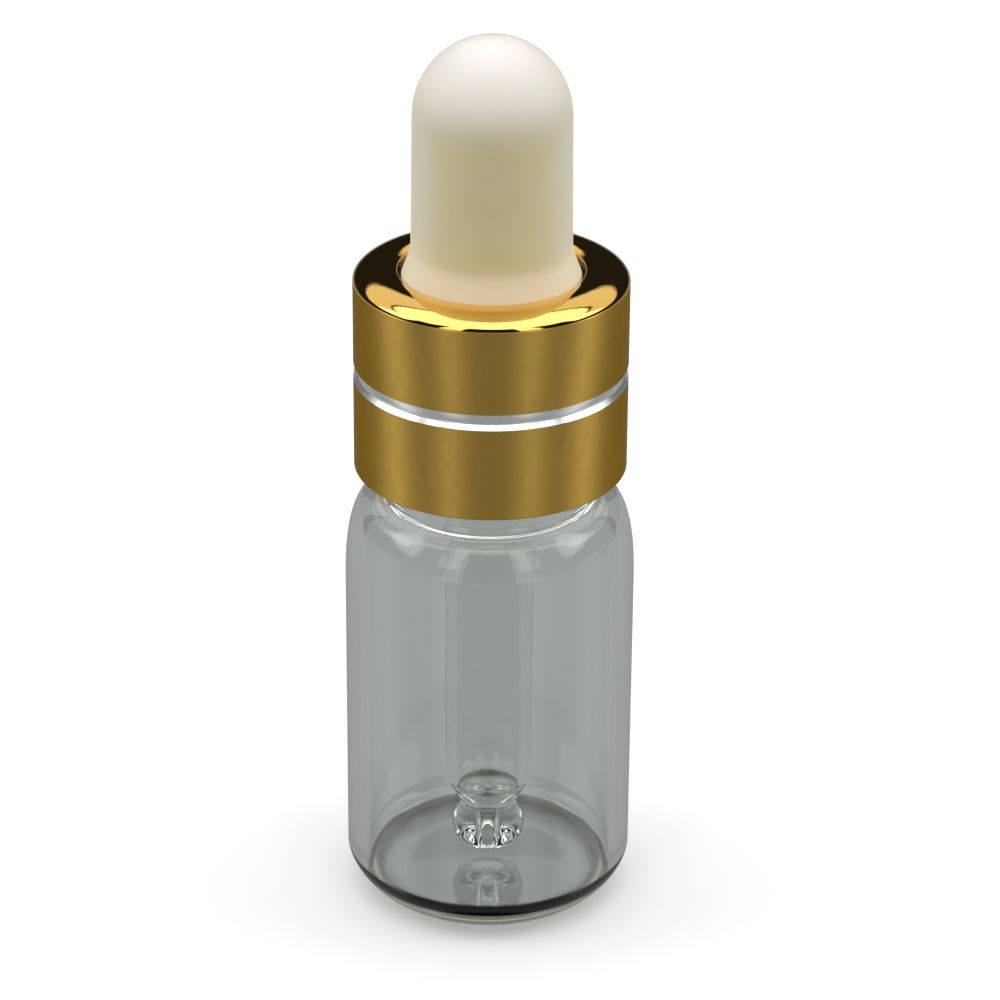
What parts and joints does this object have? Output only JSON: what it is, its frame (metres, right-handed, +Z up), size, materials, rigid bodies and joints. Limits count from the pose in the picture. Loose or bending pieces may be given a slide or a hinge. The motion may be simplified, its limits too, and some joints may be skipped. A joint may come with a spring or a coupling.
{
  "type": "dropper vial",
  "caption": "Small clear glass sample vial with a screw-on dropper: cream rubber bulb, gold metal collar with a silver groove, and a glass pipette inside.",
  "frame": {"origin": "centre of the vial's foot, on the surface it stands on", "axes": "+Z up along the vial's axis; X and Y are free, because every piece is turned about Z"},
  "size_m": [0.016, 0.016, 0.0504],
  "materials": {
    "clear_glass": "clear polished glass",
    "pipette_glass": "clear polished glass",
    "cream_rubber": "matte moulded rubber",
    "white_plastic": "plain moulded plastic",
    "gold_aluminium": "gold anodised, satin side with a polished domed top and a bare bright groove"
  },
  "bodies": {
    "vial": {"glass_vial": "clear_glass"},
    "dropper": {"glass_pipette": "pipette_glass"},
    "closure": {"inner_cap": "white_plastic", "collar_shell": "gold_aluminium"},
    "bulb": {"rubber_bulb": "cream_rubber"}
  },
  "joints": [
    {"name": "dropper_lift", "type": "slide", "parent": "vial", "child": "dropper", "axis": [0, 0, 1], "range_m": [0, 0.03599]},
    {"name": "closure_turn", "type": "hinge", "parent": "dropper", "child": "closure", "pos_m": [0, 0, 0.0315], "axis": [0, 0, 1], "range_deg": [0, 6120.5]},
    {"name": "bulb_press", "type": "slide", "parent": "dropper", "child": "bulb", "axis": [0, 0, -1], "range_m": [0, 0.003], "stiffness_N_per_m": 400, "deforming": ["rubber_bulb"]}
  ],
  "couplings": [
    {"joint": "closure_turn", "follows": "dropper_lift", "rad_per_m": 2968}
  ]
}
